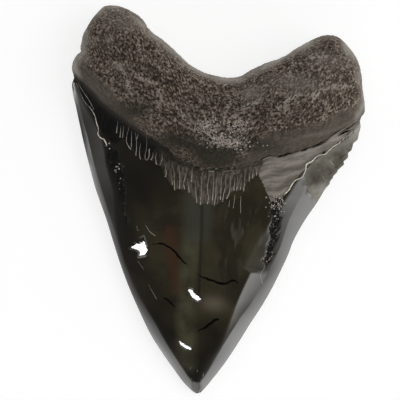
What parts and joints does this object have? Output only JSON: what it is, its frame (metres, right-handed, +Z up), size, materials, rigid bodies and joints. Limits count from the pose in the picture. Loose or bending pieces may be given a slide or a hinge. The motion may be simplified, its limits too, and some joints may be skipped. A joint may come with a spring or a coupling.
{
  "type": "megalodon tooth",
  "caption": "Fossil megalodon tooth with a forked porous root, a striated band below it and a polished black blade, lying on its labial face.",
  "frame": {"origin": "under the middle of the tooth's outline, on the surface that it lies on", "axes": "+X to the right when looked down on, +Y from the tip towards the root, +Z up out of the bulging lingual face"},
  "size_m": [0.094, 0.1206, 0.0245],
  "materials": {
    "fossil_tooth": "polished black enamel on the blade, matt pitted grey-brown stone on the root"
  },
  "bodies": {
    "root": {"megalodon_tooth": "fossil_tooth"}
  },
  "joints": []
}
